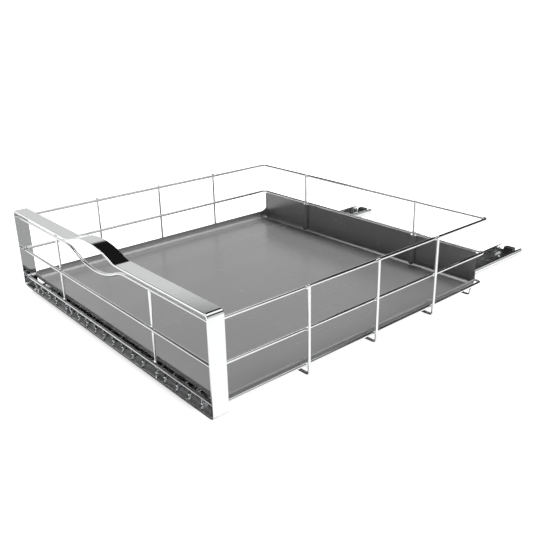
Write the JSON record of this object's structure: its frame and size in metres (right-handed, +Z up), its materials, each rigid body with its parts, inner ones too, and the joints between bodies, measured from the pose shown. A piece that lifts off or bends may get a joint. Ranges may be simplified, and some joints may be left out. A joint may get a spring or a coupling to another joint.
{
  "type": "pull-out cabinet organizer",
  "caption": "Chrome wire pull-out basket with a flat front band, arched handle and lift-out grey steel tray, on ball-bearing runners that screw to a cabinet floor.",
  "frame": {"origin": "bottom centre of the bounding box, on the cabinet floor, with the basket partly pulled out", "axes": "+Z up; -Y towards the person who pulls the basket out; +X to that person's right"},
  "size_m": [0.535, 0.7512, 0.1568],
  "materials": {
    "chrome_band": "polished chrome plate on flat strip",
    "chrome_wire": "polished chrome plate on round wire",
    "tray": "satin grey coat on sheet steel",
    "runner_steel": "bright zinc plate",
    "cage_steel": "zinc plate",
    "ball_steel": "polished steel",
    "bumper_plastic": "black moulded plastic",
    "clip_steel": "zinc plate",
    "screw_steel": "zinc plate"
  },
  "bodies": {
    "cabinet_side": {"left_cabinet_member": "runner_steel", "left_rear_bumper": "bumper_plastic", "right_cabinet_member": "runner_steel", "right_rear_bumper": "bumper_plastic"},
    "basket": {"front_band": "chrome_band", "top_hoop": "chrome_wire", "middle_hoop": "chrome_wire", "bottom_hoop": "chrome_wire", "cross_wire_1": "chrome_wire", "cross_wire_2": "chrome_wire", "cross_wire_3": "chrome_wire", "support_wire": "chrome_wire", "left_long_wire": "chrome_wire", "right_long_wire": "chrome_wire", "base_wire_01": "chrome_wire", "base_wire_02": "chrome_wire", "base_wire_03": "chrome_wire", "base_wire_04": "chrome_wire", "base_wire_05": "chrome_wire", "base_wire_06": "chrome_wire", "base_wire_07": "chrome_wire", "base_wire_08": "chrome_wire", "base_wire_09": "chrome_wire", "base_wire_10": "chrome_wire", "base_wire_11": "chrome_wire", "base_wire_12": "chrome_wire", "base_wire_13": "chrome_wire", "base_wire_14": "chrome_wire", "base_wire_15": "chrome_wire", "base_wire_16": "chrome_wire", "base_wire_17": "chrome_wire", "tray": "tray", "clip_screws": "screw_steel", "left_drawer_member": "runner_steel", "left_front_clip": "clip_steel", "left_rear_clip": "clip_steel", "right_drawer_member": "runner_steel", "right_front_clip": "clip_steel", "right_rear_clip": "clip_steel"},
    "left_intermediate": {"left_intermediate_member": "runner_steel"},
    "left_outer_ball_row": {"left_outer_cage": "cage_steel", "left_outer_balls": "ball_steel"},
    "left_inner_ball_row": {"left_inner_cage": "cage_steel", "left_inner_balls": "ball_steel"},
    "right_intermediate": {"right_intermediate_member": "runner_steel"},
    "right_outer_ball_row": {"right_outer_cage": "cage_steel", "right_outer_balls": "ball_steel"},
    "right_inner_ball_row": {"right_inner_cage": "cage_steel", "right_inner_balls": "ball_steel"}
  },
  "joints": [
    {"name": "basket_slide", "type": "slide", "parent": "cabinet_side", "child": "basket", "axis": [0, -1, 0], "range_m": [-0.213, 0.275]},
    {"name": "left_intermediate_slide", "type": "slide", "parent": "cabinet_side", "child": "left_intermediate", "axis": [0, -1, 0], "range_m": [-0.1066, 0.1376]},
    {"name": "left_outer_cage_slide", "type": "slide", "parent": "cabinet_side", "child": "left_outer_ball_row", "axis": [0, -1, 0], "range_m": [-0.0534, 0.0689]},
    {"name": "left_inner_cage_slide", "type": "slide", "parent": "left_intermediate", "child": "left_inner_ball_row", "axis": [0, -1, 0], "range_m": [-0.0534, 0.0689]},
    {"name": "right_intermediate_slide", "type": "slide", "parent": "cabinet_side", "child": "right_intermediate", "axis": [0, -1, 0], "range_m": [-0.1066, 0.1376]},
    {"name": "right_outer_cage_slide", "type": "slide", "parent": "cabinet_side", "child": "right_outer_ball_row", "axis": [0, -1, 0], "range_m": [-0.0534, 0.0689]},
    {"name": "right_inner_cage_slide", "type": "slide", "parent": "right_intermediate", "child": "right_inner_ball_row", "axis": [0, -1, 0], "range_m": [-0.0534, 0.0689]}
  ],
  "couplings": [
    {"joint": "left_intermediate_slide", "follows": "basket_slide", "ratio": 0.5},
    {"joint": "left_outer_cage_slide", "follows": "basket_slide", "ratio": 0.25},
    {"joint": "left_inner_cage_slide", "follows": "basket_slide", "ratio": 0.25},
    {"joint": "right_intermediate_slide", "follows": "basket_slide", "ratio": 0.5},
    {"joint": "right_outer_cage_slide", "follows": "basket_slide", "ratio": 0.25},
    {"joint": "right_inner_cage_slide", "follows": "basket_slide", "ratio": 0.25}
  ]
}
